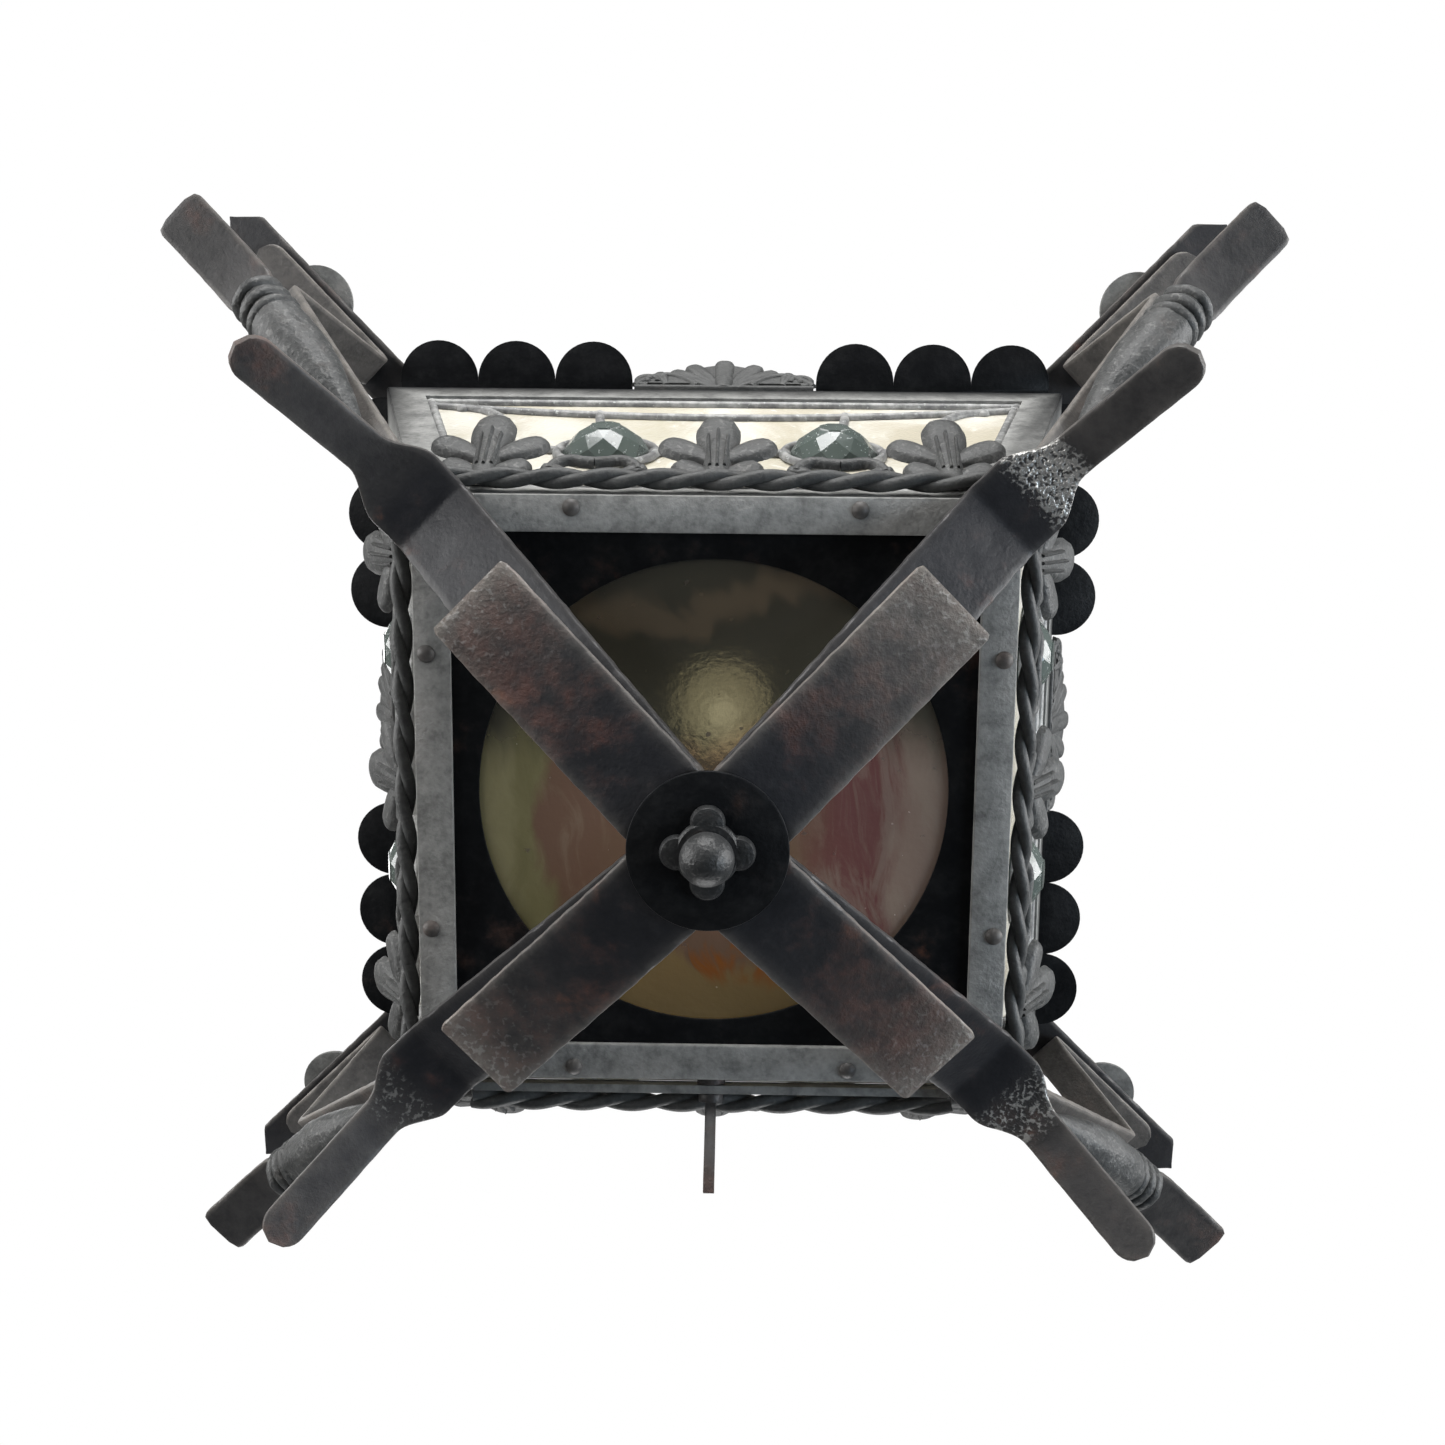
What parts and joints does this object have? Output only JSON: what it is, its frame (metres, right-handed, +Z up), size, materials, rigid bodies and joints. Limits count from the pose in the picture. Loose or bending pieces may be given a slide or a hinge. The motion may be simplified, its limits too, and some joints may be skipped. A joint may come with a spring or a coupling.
{
  "type": "hanging lantern",
  "caption": "Square black iron hanging lantern with flared opal glass walls, faceted jewels, folded strap feet under a round marbled glass bottom, and a ring on top.",
  "frame": {"origin": "inside top of the hanging ring, where a hook bears", "axes": "+Z up, -Y is the front with the hinged door, +X is to the right seen from the front"},
  "size_m": [0.4554, 0.4554, 0.5505],
  "materials": {
    "forged_iron": "hammered black strap iron, paint worn through to rust at folds and ends",
    "sheet_iron": "black painted sheet iron, dusty satin",
    "cast_iron_black": "black cast trim with dust in the hollows",
    "lead_came": "dull dark lead lines",
    "opal_glass": "cream and white streaky opalescent glass",
    "slag_glass": "marbled slag glass in tan, pink, olive and orange",
    "jewel_glass": "pressed faceted glass, grey-green",
    "socket_black": "moulded black lamp holder",
    "frosted_bulb": "frosted lamp glass, warm white"
  },
  "bodies": {
    "ring": {"hanging_ring": "cast_iron_black"},
    "lantern": {"bottom_frame": "sheet_iron", "bottom_plate": "sheet_iron", "bottom_glass": "slag_glass", "frame_rivets": "cast_iron_black", "upper_frame": "sheet_iron", "foot_strap_1": "forged_iron", "foot_strap_2": "forged_iron", "foot_strap_3": "forged_iron", "foot_strap_4": "forged_iron", "corner_scroll_1": "forged_iron", "corner_scroll_2": "forged_iron", "corner_scroll_3": "forged_iron", "corner_scroll_4": "forged_iron", "corner_arm_1": "forged_iron", "corner_arm_2": "forged_iron", "corner_arm_3": "forged_iron", "corner_arm_4": "forged_iron", "hip_strap_1": "forged_iron", "hip_strap_2": "forged_iron", "hip_strap_3": "forged_iron", "hip_strap_4": "forged_iron", "corner_discs": "sheet_iron", "hub_disc": "cast_iron_black", "hub_rosette": "cast_iron_black", "hub_nut": "cast_iron_black", "ball_finial": "cast_iron_black", "right_glass": "opal_glass", "back_glass": "opal_glass", "left_glass": "opal_glass", "right_came": "lead_came", "back_came": "lead_came", "left_came": "lead_came", "right_rope": "cast_iron_black", "back_rope": "cast_iron_black", "left_rope": "cast_iron_black", "right_coronet": "cast_iron_black", "back_coronet": "cast_iron_black", "left_coronet": "cast_iron_black", "wall_jewels": "jewel_glass", "hinge_pins": "cast_iron_black", "eave_plate": "sheet_iron", "eave_ornaments": "cast_iron_black", "roof": "sheet_iron", "crown_collar": "sheet_iron", "crown_cap": "sheet_iron", "hanging_eye": "cast_iron_black", "lamp_socket": "socket_black", "lamp_bulb": "frosted_bulb"},
    "door": {"door_frame": "sheet_iron", "door_glass": "opal_glass", "door_came": "lead_came", "door_rope": "cast_iron_black", "door_coronet": "cast_iron_black", "door_jewels": "jewel_glass"},
    "turn_button": {"latch": "forged_iron"}
  },
  "joints": [
    {"name": "ring_swing", "type": "hinge", "parent": "ring", "child": "lantern", "pos_m": [0, 0, -0.06], "axis": [0, 1, 0], "range_deg": [-25, 25]},
    {"name": "door_hinge", "type": "hinge", "parent": "lantern", "child": "door", "pos_m": [0, -0.15512, -0.28343], "axis": [-1, 0, 0], "range_deg": [0, 75]},
    {"name": "turn_button", "type": "hinge", "parent": "door", "child": "turn_button", "pos_m": [0, -0.10743, -0.43104], "axis": [0, -0.9627, -0.2704], "range_deg": [-90, 90]}
  ]
}
